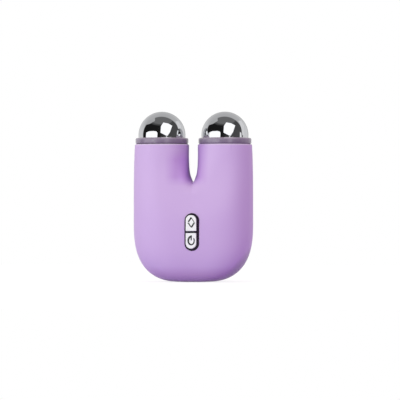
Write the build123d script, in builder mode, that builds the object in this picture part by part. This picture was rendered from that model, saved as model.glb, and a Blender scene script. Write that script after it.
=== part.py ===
"""Hand-held facial toning device: a forked palm-sized body with two chromed ball electrodes.

Millimetres. +Z is up, the front with the two buttons faces -Y, and the origin is the centre of
the flat base. "Forward" values measure from the parting plane at y = 0 towards the front (-Y),
so Plane.XZ.offset(forward) is a plane at y = -forward whose normal points out of the front.
"""

import os
from math import cos, radians, sqrt

from build123d import *

os.makedirs("parts", exist_ok=True)

# ---- the body's outer form ----------------------------------------------------------------
HALF_WIDTH = 26.95  # widest half width, across the palm
BELLY_HALF_DEPTH = 15.3  # thickest half depth, at the belly
BODY_TOP = 62.1  # top edge of the two limbs
LIMB_X = 14.25  # limb axis, from the centre plane
LIMB_RADIUS = 12.2  # each limb ends round
BASE_HALF_WIDTH = 5.0  # the flat that the device stands on
BASE_HALF_DEPTH = 5.0
SIDE_CORNER_RISE = 26.1  # height over which the base rounds up into the sides
FACE_CORNER_RISE = 22.0  # and into the front and rear faces
CORNER_POWER = 2.58
NECK_BOTTOM = 24.0  # the belly thins between these heights to the round limbs
NECK_TOP = 57.0
SHOULDER = 36.0  # the sides lean in above this height
CREST_SHARE = 0.3  # the belly is thickest at this share of its half width
CREST_SPREAD_BOTTOM = 12.0  # between these heights that crest moves out to the limb's axis
CREST_SPREAD_TOP = 50.5
FORK_TIP = 44.95
SADDLE = 6.0  # the fork's walls turn into the faces over this height under its tip
VALLEY = 2.0  # pull on the shallow valley that runs down from the fork
VALLEY_BOTTOM = 20.0
ROUND_HANDLE = 0.5523  # Bezier handle that makes a quarter circle
BELLY_HANDLE = 0.62  # a fuller quarter for the belly's outer sides
FORK_HANDLE = 0.85  # a squarer one for the limbs' inner sides at the fork's tip
WEB_HANDLE = 0.4
WEB_POWER = 1.5  # how fast the web takes over from the limbs under the fork's tip
RAISED_HANDLE = 0.75  # a cubic's handle, as its quartic form has it
TOP_EDGE_RADIUS = 0.65
CORNER_TURNS = (0, 12, 25, 40, 56, 73)  # where the base corner is sectioned, in degrees
BODY_HEIGHTS = (21.0, 25.8, 30.1, 34.1, 37.3, 39.9, 41.9, 43.5)
FORK_HALF_GAPS = {
    FORK_TIP: 0.0,
    46.3: 0.78,
    47.9: 1.36,
    49.9: 1.75,
    52.3: 1.94,
    55.2: 2.02,
    58.5: 2.04,
    BODY_TOP: LIMB_X - LIMB_RADIUS,
}
OVERRUN = 1.0  # cuts and closing faces run past the form by this
PICK = 0.01  # tolerance for edges that are picked by their height

# ---- the casing's seam and cavity ---------------------------------------------------------
SEAM_HALF_GAP = 0.15  # each shell stops short of the parting plane by this
SEAM_DEPTH = 0.25  # the seal lies this far under the surface, behind a fine groove
SEAL_WIDTH = 1.0
SEAL_TOP = 61.6
# height, half width and half depth of the belly cavity, with its corners cut off
BELLY_CAVITY = (
    (4.5, 13.5, 8.0),
    (8.5, 17.5, 10.2),
    (13.0, 20.0, 11.7),
    (24.0, 22.5, 12.1),
    (34.0, 22.5, 11.2),
    (39.0, 22.0, 8.4),
)
BELLY_CAVITY_CORNER = 6.5
# height, centre x, half width and half depth of the passage up each limb
LIMB_CAVITY = ((36.5, 13.0, 8.0, 8.6), (45.0, 14.0, 9.6, 9.8), (54.0, LIMB_X, 9.3, 9.3))
LIMB_CAVITY_CORNER = 5.0
PINS = [(x, z) for x in (-24.5, 24.5) for z in (23.0, 42.0)]  # they press the shells together
PIN_RADIUS = 1.0
PIN_LENGTH = 4.0
PIN_SOCKET_RADIUS = 1.05
PIN_SOCKET_DEPTH = 4.5

# ---- the two heads ------------------------------------------------------------------------
LIMBS = {"left": -1, "right": 1}  # side of the centre plane
BORE_RADIUS = 10.45  # the limb's socket for carrier and collar
BORE_LEDGE = 53.6
RIB_RADIUS = 9.5  # ring in the bore that keeps the carrier from pulling out
RIB_BOTTOM = 56.0
RIB_TOP = 57.0
RIB_CLEARANCE = 0.15
CARRIER_RADIUS = 10.35
CARRIER_TOP = 58.5
CARRIER_WEB_BOTTOM = 55.0
CARRIER_RIM_RADIUS = 8.6  # inside of its lower rim
STEM_RADIUS = 3.0
STEM_BOTTOM = 57.0
STEM_CLEARANCE = 0.1
BALL_RADIUS = 10.6
BALL_Z = 66.15
SCREW_RADIUS = 1.45
SCREW_HOLE_RADIUS = 1.5
SCREW_HOLE_TOP = 63.0
SCREW_TOP = 62.5
SCREW_HEAD_RADIUS = 2.6
SCREW_HEAD_HEIGHT = 1.6
STRIP_THICKNESS = 0.5  # brass strip from each ball's screw to the circuit board
STRIP_WIDTH = 2.8
STRIP_X = 12.25
STRIP_FORWARD = 5.2
STRIP_UPPER_BEND = 45.0
STRIP_LOWER_BEND = 37.5
STRIP_BOTTOM = 31.6
STRIP_BEND_RADIUS = 1.0
LUG_RADIUS = 3.2
COLLAR_RADIUS = 11.9
COLLAR_BOTTOM = 62.4
COLLAR_TOP = 64.9
COLLAR_TOP_ROUND = 0.7
COLLAR_BOTTOM_BEVEL = 0.2
COLLAR_SKIRT_RADIUS = 10.35
COLLAR_SKIRT_BORE = 9.4
COLLAR_SKIRT_BOTTOM = 58.7
COLLAR_SEAT_CLEARANCE = 0.08

# ---- the button group ---------------------------------------------------------------------
BUTTON_Z = 22.7  # middle of the group
BUTTON_SPACING = 7.9  # between the two stems
BUTTONS = {"upper": 1, "lower": -1}  # side of the divider
CROWN_RADIUS = 127.0  # the front face's curve from base to fork, there
CROWN_REACH = 14.0
GROUP_MIDDLE = (0, BUTTON_Z)
BEZEL_MIDDLE = (0.34, 22.6)  # the dark surround is wider at the right and below
BEZEL_WIDTH = 6.35
BEZEL_LENGTH = 16.67
BEZEL_FACE = 15.6
BEZEL_EDGE_RADIUS = 0.15
BEZEL_SEAT = 13.7  # its flange lies against the shell here
BEZEL_BACK = 12.2
FLANGE_WIDTH = 9.4
FLANGE_LENGTH = 19.2
WINDOW_CLEARANCE = 0.1
OPENING_WIDTH = 5.0
OPENING_LENGTH = 15.24
POCKET_WIDTH = 5.48
POCKET_LENGTH = 15.72
POCKET_FLOOR = 13.6
DIVIDER = 0.45
DIVIDER_FACE = 15.3
CAP_FACE = 16.05
CAP_CLEARANCE = 0.12
CAP_EDGE_RADIUS = 0.25
CAP_LIP = 0.12  # the lip reaches past the opening's edge by this
CAP_LIP_FRONT = 13.5
CAP_LIP_BACK = 12.9
CAP_STEM_RADIUS = 1.1
STEM_HOLE_RADIUS = 1.25
BUTTON_GASKET_BACK = 11.7
RETAINER_BACK = 10.7
RETAINER_SCREW_X = 7.5
RETAINER_EAR = 4.2
SWITCH_FRONT = 10.4
SWITCH_WIDTH = 4.5
PLUNGER_RADIUS = 0.85
PLUNGER_BORE_RADIUS = 0.92
PLUNGER_FRONT = 10.9
PLUNGER_BACK = 9.8
PLUNGER_BORE_BACK = 9.3
STEMS = {name: (0, BUTTON_Z + way * BUTTON_SPACING / 2) for name, way in BUTTONS.items()}
RETAINER_SCREWS = [(-RETAINER_SCREW_X, BUTTON_Z), (RETAINER_SCREW_X, BUTTON_Z)]

# ---- small screws -------------------------------------------------------------------------
SMALL_SCREW_RADIUS = 0.75
SMALL_PILOT_RADIUS = 0.8
SMALL_HEAD_RADIUS = 1.5
SMALL_HEAD_HEIGHT = 1.1
BOSS_RADIUS = 1.9
CHASSIS_SCREW_GRIP = 4.5  # how far each kind of screw reaches into its boss
RETAINER_SCREW_GRIP = 1.8
BOARD_SCREW_GRIP = 3.5
CHASSIS_PILOT_DEPTH = 5.0
RETAINER_PILOT_DEPTH = 2.0
BOARD_PILOT_DEPTH = 4.0

# ---- circuit board, chassis, battery and motor --------------------------------------------
BOARD_FRONT = 9.0
BOARD_BACK = 8.0
BOARD_HALF_WIDTH = 14.0
BOARD_BOTTOM = 11.0
BOARD_TOP = 35.0
BOARD_CORNER = 1.5
BOARD_SCREWS = [(-11.5, 13.5), (11.5, 13.5), (-5.5, 32.0), (5.5, 32.0)]
CONTROLLER_PLACE = (-4.5, 24.0)
CONTROLLER_SIDE = 5.0
CONTROLLER_HEIGHT = 0.9
TRANSFORMER_PLACE = (5.0, 22.0)
TRANSFORMER_WIDTH = 8.0
TRANSFORMER_LENGTH = 7.0
TRANSFORMER_HEIGHT = 5.0
TRANSFORMER_CORNER = 1.0
CHASSIS_HALF = 0.8  # half the chassis plate's thickness
CHASSIS_HALF_WIDTH = 19.2
CHASSIS_BOTTOM = 11.0
CHASSIS_TOP = 38.0
CHASSIS_CORNER = 3.5
CHASSIS_SCREWS = [(x, z) for x in (-17.0, 17.0) for z in (18.0, 34.5)]
RAIL_BACK = -5.6  # rails beside the battery
RAIL_WIDTH = 1.2
RAIL_HEIGHT = 7.0
RAIL_CLEARANCE = 0.2
BATTERY_HALF_WIDTH = 14.0
BATTERY_BOTTOM = 11.2
BATTERY_TOP = 28.2
BATTERY_FRONT = -1.6
BATTERY_BACK = -8.6
BATTERY_CORNER = 1.0
BATTERY_PAD_MARGIN = 1.5
MOTOR_FORWARD = -5.0
MOTOR_Z = 33.5
MOTOR_RADIUS = 3.0
MOTOR_LEFT = -9.0
MOTOR_RIGHT = 3.0
BOOT_RADIUS = 3.8
BOOT_LEFT = -8.0
BOOT_RIGHT = 2.0
CLIP_WALL = 1.0
CLIP_CLEARANCE = 0.05
CLIP_BACK = -6.6
CLIP_LEFT = -7.0
CLIP_RIGHT = 1.0
SHAFT_RADIUS = 0.5
SHAFT_BORE_RADIUS = 0.55
SHAFT_BORE_DEPTH = 2.5
SHAFT_END_CLEARANCE = 0.2
WEIGHT_RADIUS = 2.7
WEIGHT_HUB_RADIUS = 1.2
WEIGHT_LEFT = 4.2
WEIGHT_RIGHT = 7.2
LEAD_THICKNESS = 0.8  # the leads are flat twin ribbons
LEAD_WIDTH = 2.0
LEAD_BEND = 1.2
LEAD_SLOT_CLEARANCE = 0.4
BATTERY_LEAD_X = 9.5
BATTERY_LEAD_FORWARD = -4.1
BATTERY_LEAD_Z = 30.2
MOTOR_LEAD_Z = 31.6

# ---- charging jack ------------------------------------------------------------------------
JACK_RADIUS = 2.9
JACK_BORE_RADIUS = 1.3
JACK_BOTTOM = 0.15
JACK_FLANGE_RADIUS = 3.8
JACK_FLANGE_BOTTOM = 1.8
JACK_FLANGE_TOP = 2.8
JACK_TOP = 9.8
JACK_BORE_TOP = 9.0
JACK_SEAT_CLEARANCE = 0.1
JACK_BLOCK_TOP = 8.0
JACK_BLOCK_WIDTH = 10.0
JACK_LEAD_FORWARD = 1.9
JACK_LEAD_Z = 12.6


def save(part, name):
    """Labels one finished piece and writes its STEP file."""
    part.label = name
    export_step(part, f"parts/{name}.step")


def side_plane(x):
    """Plane across the width at x: local x is forward, local y is the height."""
    return Plane(origin=(x, 0, 0), x_dir=(0, -1, 0), z_dir=(-1, 0, 0))


def limb_plane(side):
    """Plane through a limb's axis: local x is the radius, local y is the height."""
    return Plane(origin=(side * LIMB_X, 0, 0), x_dir=(1, 0, 0), z_dir=(0, -1, 0))


def limb_axis(side):
    return Axis((side * LIMB_X, 0, 0), (0, 0, 1))


def band(radius, bottom, top, mode=Mode.ADD):
    """Half section, beside an axis of revolution, of a disc between two heights."""
    with Locations((0, bottom)):
        Rectangle(radius, top - bottom, align=(Align.MIN, Align.MIN), mode=mode)


def post(places, radius, back, front, mode=Mode.ADD):
    """Round posts along Y at (x, z) places, between two forward values."""
    with BuildSketch(Plane.XZ.offset(back)) as section:
        with Locations(*places):
            Circle(radius)
    extrude(section.sketch, amount=front - back, mode=mode)


def capsule(width, length, back, front, middle=GROUP_MIDDLE, mode=Mode.ADD):
    """Upright capsule about a point of the button group, between two forward values."""
    with BuildSketch(Plane.XZ.offset(back)) as section:
        with Locations(middle):
            SlotOverall(length, width, rotation=90)
    extrude(section.sketch, amount=front - back, mode=mode)


def crown(face, back):
    """Keeps what lies behind a face that curves back above and below the button group."""
    edge = face - CROWN_RADIUS + sqrt(CROWN_RADIUS**2 - CROWN_REACH**2)
    low = BUTTON_Z - CROWN_REACH
    high = BUTTON_Z + CROWN_REACH
    with BuildSketch(side_plane(0)) as section:
        with BuildLine():
            ThreePointArc((edge, low), (face, BUTTON_Z), (edge, high))
            Polyline((edge, high), (back, high), (back, low), (edge, low))
        make_face()
    extrude(section.sketch, amount=FLANGE_WIDTH, both=True, mode=Mode.INTERSECT)


# ---- casing -------------------------------------------------------------------------------
def ease(t):
    """0 to 1 with neither slope nor curvature at its ends."""
    t = min(max(t, 0.0), 1.0)
    return t**3 * (10 - 15 * t + 6 * t * t)


def rounded_rise(z, rise, start, full):
    """Half size at height z of a corner that rounds up from a flat of size start to full."""
    if z >= rise:
        return full
    return start + (full - start) * (1 - ((rise - z) / rise) ** CORNER_POWER) ** (1 / CORNER_POWER)


def outer_side(z, inset):
    """Bezier poles from the body's side to its crest, in the +X +Y quarter at height z."""
    lean = (max(0.0, z - SHOULDER) / (BODY_TOP - SHOULDER)) ** 3
    side = rounded_rise(z - inset, SIDE_CORNER_RISE - inset, BASE_HALF_WIDTH, HALF_WIDTH - inset)
    side -= lean * (HALF_WIDTH - LIMB_X - LIMB_RADIUS)
    neck = ease((z - NECK_BOTTOM) / (NECK_TOP - NECK_BOTTOM))
    depth = rounded_rise(z - inset, FACE_CORNER_RISE - inset, BASE_HALF_DEPTH, BELLY_HALF_DEPTH - inset)
    depth -= neck * (BELLY_HALF_DEPTH - LIMB_RADIUS)
    spread = ease((z - CREST_SPREAD_BOTTOM) / (CREST_SPREAD_TOP - CREST_SPREAD_BOTTOM))
    crest = spread * LIMB_X + (1 - spread) * CREST_SHARE * side
    handle = BELLY_HANDLE + spread * (ROUND_HANDLE - BELLY_HANDLE)
    return [(side, 0), (side, handle * depth), (crest + handle * (side - crest), depth), (crest, depth)]


def inner_side(z, inset, crest, depth):
    """Bezier poles from the crest inwards: round the limb, or under the fork across the centre."""
    gap = inset + FORK_HALF_GAPS.get(z, 0.0)
    rounding = ease((z - FORK_TIP) / (BODY_TOP - FORK_TIP))
    handle = FORK_HANDLE + rounding * (ROUND_HANDLE - FORK_HANDLE)
    reach = handle * (crest - gap)
    limb = [
        (crest, depth),
        (crest - RAISED_HANDLE * reach, depth),
        ((crest - reach + gap) / 2, (1 + handle) * depth / 2),
        (gap, RAISED_HANDLE * handle * depth),
        (gap, 0),
    ]
    web_top = FORK_TIP - SADDLE
    dip = VALLEY * ease((z - VALLEY_BOTTOM) / (web_top - VALLEY_BOTTOM))
    pull = WEB_HANDLE * crest
    web = [(crest, depth), (pull, depth), (0, depth - dip), (-pull, depth), (-crest, depth)]
    t = min(max((FORK_TIP - inset - z) / SADDLE, 0.0), 1.0)
    share = t**WEB_POWER * (1 + WEB_POWER - WEB_POWER * t)
    return [(a + share * (c - a), b + share * (d - b)) for (a, b), (c, d) in zip(limb, web)]


def forked_body(inset=0.0):
    """The body's form, or the same form inset from its sides and base."""
    rise = SIDE_CORNER_RISE - inset
    corner = [inset + rise * (1 - cos(radians(turn)) ** (2 / CORNER_POWER)) for turn in CORNER_TURNS]
    with BuildPart() as body:
        for z in (*corner, *BODY_HEIGHTS, *FORK_HALF_GAPS):
            outer = outer_side(z, inset)
            inner = inner_side(z, inset, *outer[-1])
            with BuildSketch(Plane.XY.offset(z)):
                with BuildLine():
                    Bezier(*outer)
                    Bezier(*inner)
                    inner_end = (inner[-1][0], -OVERRUN)
                    outer_end = (outer[0][0], -OVERRUN)
                    Polyline(inner[-1], inner_end, outer_end, outer[0])
                make_face()
        loft()
        split(bisect_by=Plane.YZ, keep=Keep.TOP)
        split(bisect_by=Plane.XZ, keep=Keep.BOTTOM)
        mirror(about=Plane.XZ)
        mirror(about=Plane.YZ)
    return body.part


def limb_passage(side):
    """Cavity of one limb: flat-walled up to the ledge, then bored for the carrier and collar."""
    with BuildPart() as passage:
        for z, x, half_width, half_depth in LIMB_CAVITY:
            with BuildSketch(Plane.XY.offset(z)) as section:
                with Locations((side * x, 0)):
                    Rectangle(2 * half_width, 2 * half_depth)
                chamfer(section.vertices(), LIMB_CAVITY_CORNER)
        loft(ruled=True)
        with BuildSketch(limb_plane(side)):
            band(BORE_RADIUS, BORE_LEDGE, RIB_BOTTOM)
            band(RIB_RADIUS, RIB_BOTTOM, RIB_TOP)
            band(BORE_RADIUS, RIB_TOP, BODY_TOP + OVERRUN)
        revolve(axis=limb_axis(side))
    return passage.part


outer_form = forked_body()
seal_outside = forked_body(SEAM_DEPTH)
seal_inside = forked_body(SEAM_DEPTH + SEAL_WIDTH)
limb_passages = [limb_passage(side) for side in LIMBS.values()]

with BuildPart() as cavity:
    for z, half_width, half_depth in BELLY_CAVITY:
        with BuildSketch(Plane.XY.offset(z)) as cavity_section:
            Rectangle(2 * half_width, 2 * half_depth)
            chamfer(cavity_section.vertices(), BELLY_CAVITY_CORNER)
    loft(ruled=True)
    add(limb_passages)
    with BuildSketch():  # the block that holds the charging jack stays solid
        Rectangle(JACK_BLOCK_WIDTH, 2 * BELLY_HALF_DEPTH)
    extrude(amount=JACK_BLOCK_TOP, mode=Mode.SUBTRACT)

with BuildPart() as jack_seat:
    with BuildSketch(Plane.XZ):
        band(JACK_RADIUS + JACK_SEAT_CLEARANCE, -OVERRUN, JACK_BLOCK_TOP + OVERRUN)
        band(JACK_FLANGE_RADIUS + JACK_SEAT_CLEARANCE, JACK_FLANGE_BOTTOM, JACK_FLANGE_TOP)
    revolve(axis=Axis.Z)

with BuildPart() as solid_body:
    add(outer_form)
    fillet(solid_body.edges().group_by(Axis.Z)[-1], TOP_EDGE_RADIUS)

with BuildPart() as front_cavity:
    add(cavity.part)
    post(CHASSIS_SCREWS, BOSS_RADIUS, CHASSIS_HALF, BELLY_HALF_DEPTH, mode=Mode.SUBTRACT)
    post(RETAINER_SCREWS, BOSS_RADIUS, BUTTON_GASKET_BACK, BELLY_HALF_DEPTH, mode=Mode.SUBTRACT)

with BuildPart() as front_shell:
    add(solid_body.part)
    split(bisect_by=Plane.XZ.offset(SEAM_HALF_GAP), keep=Keep.TOP)
    add(front_cavity.part, mode=Mode.SUBTRACT)
    add(jack_seat.part, mode=Mode.SUBTRACT)
    capsule(
        FLANGE_WIDTH + 2 * WINDOW_CLEARANCE,
        FLANGE_LENGTH + 2 * WINDOW_CLEARANCE,
        RETAINER_BACK,
        BEZEL_SEAT,
        mode=Mode.SUBTRACT,
    )
    capsule(
        BEZEL_WIDTH + 2 * WINDOW_CLEARANCE,
        BEZEL_LENGTH + 2 * WINDOW_CLEARANCE,
        BEZEL_SEAT,
        BEZEL_FACE + OVERRUN,
        BEZEL_MIDDLE,
        mode=Mode.SUBTRACT,
    )
    post(
        CHASSIS_SCREWS,
        SMALL_PILOT_RADIUS,
        CHASSIS_HALF,
        CHASSIS_HALF + CHASSIS_PILOT_DEPTH,
        mode=Mode.SUBTRACT,
    )
    post(
        RETAINER_SCREWS,
        SMALL_PILOT_RADIUS,
        BUTTON_GASKET_BACK,
        BUTTON_GASKET_BACK + RETAINER_PILOT_DEPTH,
        mode=Mode.SUBTRACT,
    )
    post(PINS, PIN_SOCKET_RADIUS, SEAM_HALF_GAP, PIN_SOCKET_DEPTH, mode=Mode.SUBTRACT)
save(front_shell.part, "front_shell")

with BuildPart() as rear_shell:
    add(solid_body.part)
    split(bisect_by=Plane.XZ.offset(-SEAM_HALF_GAP), keep=Keep.BOTTOM)
    add(cavity.part, mode=Mode.SUBTRACT)
    add(jack_seat.part, mode=Mode.SUBTRACT)
    post(PINS, PIN_RADIUS, -SEAM_HALF_GAP, PIN_LENGTH)
save(rear_shell.part, "rear_shell")

with BuildPart() as parting_seal:
    add(seal_outside)
    add(seal_inside, mode=Mode.SUBTRACT)
    with BuildSketch(Plane.XZ.offset(-SEAM_HALF_GAP)):
        Rectangle(2 * HALF_WIDTH, SEAL_TOP, align=(Align.CENTER, Align.MIN))
        Rectangle(2 * (JACK_RADIUS + JACK_SEAT_CLEARANCE), 2 * JACK_FLANGE_TOP, mode=Mode.SUBTRACT)
    extrude(amount=2 * SEAM_HALF_GAP, mode=Mode.INTERSECT)
save(parting_seal.part, "parting_seal")

# ---- heads --------------------------------------------------------------------------------
lug_bottom = CARRIER_WEB_BOTTOM - STRIP_THICKNESS
strip_top = CARRIER_WEB_BOTTOM - STRIP_THICKNESS / 2
strip_forward = BOARD_BACK - STRIP_THICKNESS / 2

for name, side in LIMBS.items():
    with BuildPart() as ball:
        with BuildSketch(limb_plane(side)):
            with Locations((0, BALL_Z)):
                Circle(BALL_RADIUS)
                Rectangle(
                    BALL_RADIUS, 2 * BALL_RADIUS, align=(Align.MAX, Align.CENTER), mode=Mode.SUBTRACT
                )
            with Locations((0, CARRIER_TOP)):
                Rectangle(
                    BALL_RADIUS, BALL_RADIUS, align=(Align.MIN, Align.MAX), mode=Mode.SUBTRACT
                )
            band(STEM_RADIUS, STEM_BOTTOM, BALL_Z)
            band(SCREW_HOLE_RADIUS, STEM_BOTTOM, SCREW_HOLE_TOP, mode=Mode.SUBTRACT)
        revolve(axis=limb_axis(side))
    save(ball.part, f"{name}_ball_electrode")

    with BuildPart() as collar:
        with BuildSketch(limb_plane(side)):
            band(COLLAR_RADIUS, COLLAR_BOTTOM, COLLAR_TOP)
            band(COLLAR_SKIRT_RADIUS, COLLAR_SKIRT_BOTTOM, COLLAR_BOTTOM)
            band(COLLAR_SKIRT_BORE, COLLAR_SKIRT_BOTTOM, COLLAR_BOTTOM, mode=Mode.SUBTRACT)
            with Locations((0, BALL_Z)):
                Circle(BALL_RADIUS + COLLAR_SEAT_CLEARANCE, mode=Mode.SUBTRACT)
        revolve(axis=limb_axis(side))
        circles = collar.edges().filter_by(GeomType.CIRCLE)
        top_rims = circles.filter_by_position(Axis.Z, COLLAR_TOP - PICK, COLLAR_TOP + PICK)
        fillet(top_rims.sort_by(SortBy.RADIUS)[-1], COLLAR_TOP_ROUND)
        circles = collar.edges().filter_by(GeomType.CIRCLE)
        bottom_rims = circles.filter_by_position(Axis.Z, COLLAR_BOTTOM - PICK, COLLAR_BOTTOM + PICK)
        chamfer(bottom_rims.sort_by(SortBy.RADIUS)[-1], COLLAR_BOTTOM_BEVEL)
    save(collar.part, f"{name}_collar")

    with BuildPart() as head_gasket:
        with BuildSketch(Plane.XY.offset(BODY_TOP)):
            with Locations((side * LIMB_X, 0)):
                Circle(LIMB_RADIUS - TOP_EDGE_RADIUS)
                Circle(BORE_RADIUS, mode=Mode.SUBTRACT)
        extrude(amount=COLLAR_BOTTOM - BODY_TOP)
    save(head_gasket.part, f"{name}_head_gasket")

    with BuildPart() as carrier:
        with BuildSketch(limb_plane(side)):
            band(CARRIER_RADIUS, BORE_LEDGE, CARRIER_TOP)
            with Locations((RIB_RADIUS - RIB_CLEARANCE, (RIB_BOTTOM + RIB_TOP) / 2)):
                Rectangle(
                    BORE_RADIUS - RIB_RADIUS + RIB_CLEARANCE,
                    RIB_TOP - RIB_BOTTOM + 2 * RIB_CLEARANCE,
                    align=(Align.MIN, Align.CENTER),
                    mode=Mode.SUBTRACT,
                )
            band(CARRIER_RIM_RADIUS, BORE_LEDGE, CARRIER_WEB_BOTTOM, mode=Mode.SUBTRACT)
            band(
                STEM_RADIUS + STEM_CLEARANCE, STEM_BOTTOM - STEM_CLEARANCE, CARRIER_TOP, mode=Mode.SUBTRACT
            )
            band(SCREW_HOLE_RADIUS, CARRIER_WEB_BOTTOM, CARRIER_TOP, mode=Mode.SUBTRACT)
        revolve(axis=limb_axis(side))
    save(carrier.part, f"{name}_electrode_carrier")

    with BuildPart() as contact_strip:
        with BuildSketch(side_plane(side * STRIP_X)):
            with BuildLine():
                FilletPolyline(
                    (0, strip_top),
                    (STRIP_FORWARD, strip_top),
                    (STRIP_FORWARD, STRIP_UPPER_BEND),
                    (strip_forward, STRIP_LOWER_BEND),
                    (strip_forward, STRIP_BOTTOM),
                    radius=STRIP_BEND_RADIUS,
                )
            trace(line_width=STRIP_THICKNESS)
        extrude(amount=STRIP_WIDTH / 2, both=True)
        with BuildSketch(Plane.XY.offset(lug_bottom)):
            with Locations((side * LIMB_X, 0)):
                Circle(LUG_RADIUS)
        extrude(amount=STRIP_THICKNESS)
        with BuildSketch(Plane.XY.offset(lug_bottom)):
            with Locations((side * LIMB_X, 0)):
                Circle(SCREW_HOLE_RADIUS)
        extrude(amount=STRIP_THICKNESS, mode=Mode.SUBTRACT)
    save(contact_strip.part, f"{name}_contact_strip")

with BuildPart() as electrode_screws:
    for side in LIMBS.values():
        with BuildSketch(limb_plane(side)):
            band(SCREW_RADIUS, lug_bottom, SCREW_TOP)
            band(SCREW_HEAD_RADIUS, lug_bottom - SCREW_HEAD_HEIGHT, lug_bottom)
        revolve(axis=limb_axis(side))
save(electrode_screws.part, "electrode_screws")

# ---- button group -------------------------------------------------------------------------
with BuildPart() as bezel:
    capsule(BEZEL_WIDTH, BEZEL_LENGTH, BEZEL_BACK, BEZEL_FACE, BEZEL_MIDDLE)
    crown(BEZEL_FACE, BEZEL_BACK)
    fillet(bezel.faces().sort_by(Axis.Y)[0].edges(), BEZEL_EDGE_RADIUS)
    capsule(FLANGE_WIDTH, FLANGE_LENGTH, BEZEL_BACK, BEZEL_SEAT)
    capsule(OPENING_WIDTH, OPENING_LENGTH, POCKET_FLOOR, BEZEL_FACE + OVERRUN, mode=Mode.SUBTRACT)
    capsule(POCKET_WIDTH, POCKET_LENGTH, BEZEL_BACK, POCKET_FLOOR, mode=Mode.SUBTRACT)
    with BuildSketch(Plane.XZ.offset(BEZEL_BACK)):
        with Locations(GROUP_MIDDLE):
            Rectangle(POCKET_WIDTH, DIVIDER)
    extrude(amount=DIVIDER_FACE - BEZEL_BACK)
save(bezel.part, "button_bezel")

for name, way in BUTTONS.items():
    flat = way * (DIVIDER / 2 + CAP_CLEARANCE)  # the cap's straight edge, beside the divider

    with BuildPart() as button:
        capsule(
            OPENING_WIDTH - 2 * CAP_CLEARANCE, OPENING_LENGTH - 2 * CAP_CLEARANCE, CAP_LIP_BACK, CAP_FACE
        )
        crown(CAP_FACE, CAP_LIP_BACK)
        split(bisect_by=Plane.XY.offset(BUTTON_Z + flat), keep=Keep.TOP if way > 0 else Keep.BOTTOM)
        fillet(button.faces().sort_by(Axis.Y)[0].edges(), CAP_EDGE_RADIUS)
        with BuildSketch(Plane.XZ.offset(CAP_LIP_BACK)):
            with Locations(GROUP_MIDDLE):
                SlotOverall(OPENING_LENGTH + 2 * CAP_LIP, OPENING_WIDTH + 2 * CAP_LIP, rotation=90)
            with Locations((0, BUTTON_Z + flat - way * OPENING_LENGTH / 2)):
                Rectangle(POCKET_WIDTH, OPENING_LENGTH, mode=Mode.SUBTRACT)
        extrude(amount=CAP_LIP_FRONT - CAP_LIP_BACK)
        post([STEMS[name]], CAP_STEM_RADIUS, PLUNGER_FRONT, CAP_LIP_BACK)
    save(button.part, f"{name}_button")

    with BuildPart() as plunger:
        post([STEMS[name]], PLUNGER_RADIUS, PLUNGER_BACK, PLUNGER_FRONT)
    save(plunger.part, f"{name}_switch_plunger")

    with BuildPart() as switch:
        with BuildSketch(Plane.XZ.offset(BOARD_FRONT)):
            with Locations(STEMS[name]):
                Rectangle(SWITCH_WIDTH, SWITCH_WIDTH)
        extrude(amount=SWITCH_FRONT - BOARD_FRONT)
        post([STEMS[name]], PLUNGER_BORE_RADIUS, PLUNGER_BORE_BACK, SWITCH_FRONT, mode=Mode.SUBTRACT)
    save(switch.part, f"{name}_switch")

with BuildPart() as button_gasket:
    capsule(FLANGE_WIDTH, FLANGE_LENGTH, BUTTON_GASKET_BACK, BEZEL_BACK)
    post(STEMS.values(), STEM_HOLE_RADIUS, BUTTON_GASKET_BACK, BEZEL_BACK, mode=Mode.SUBTRACT)
save(button_gasket.part, "button_gasket")

with BuildPart() as retainer:
    capsule(FLANGE_WIDTH, FLANGE_LENGTH, RETAINER_BACK, BUTTON_GASKET_BACK)
    with BuildSketch(Plane.XZ.offset(RETAINER_BACK)):
        with Locations(GROUP_MIDDLE):
            SlotCenterToCenter(2 * RETAINER_SCREW_X, RETAINER_EAR)
    extrude(amount=BUTTON_GASKET_BACK - RETAINER_BACK)
    post(STEMS.values(), STEM_HOLE_RADIUS, RETAINER_BACK, BUTTON_GASKET_BACK, mode=Mode.SUBTRACT)
    post(RETAINER_SCREWS, SMALL_PILOT_RADIUS, RETAINER_BACK, BUTTON_GASKET_BACK, mode=Mode.SUBTRACT)
save(retainer.part, "button_retainer")

with BuildPart() as retainer_screws:
    screw_tip = BUTTON_GASKET_BACK + RETAINER_SCREW_GRIP
    post(RETAINER_SCREWS, SMALL_SCREW_RADIUS, RETAINER_BACK, screw_tip)
    post(RETAINER_SCREWS, SMALL_HEAD_RADIUS, RETAINER_BACK - SMALL_HEAD_HEIGHT, RETAINER_BACK)
save(retainer_screws.part, "retainer_screws")

# ---- circuit board ------------------------------------------------------------------------
with BuildPart() as circuit_board:
    with BuildSketch(Plane.XZ.offset(BOARD_BACK)):
        with Locations((0, (BOARD_TOP + BOARD_BOTTOM) / 2)):
            RectangleRounded(2 * BOARD_HALF_WIDTH, BOARD_TOP - BOARD_BOTTOM, BOARD_CORNER)
        with Locations(*BOARD_SCREWS):
            Circle(SMALL_PILOT_RADIUS, mode=Mode.SUBTRACT)
    extrude(amount=BOARD_FRONT - BOARD_BACK)
save(circuit_board.part, "circuit_board")

with BuildPart() as board_screws:
    post(BOARD_SCREWS, SMALL_SCREW_RADIUS, BOARD_BACK - BOARD_SCREW_GRIP, BOARD_FRONT)
    post(BOARD_SCREWS, SMALL_HEAD_RADIUS, BOARD_FRONT, BOARD_FRONT + SMALL_HEAD_HEIGHT)
save(board_screws.part, "board_screws")

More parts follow.
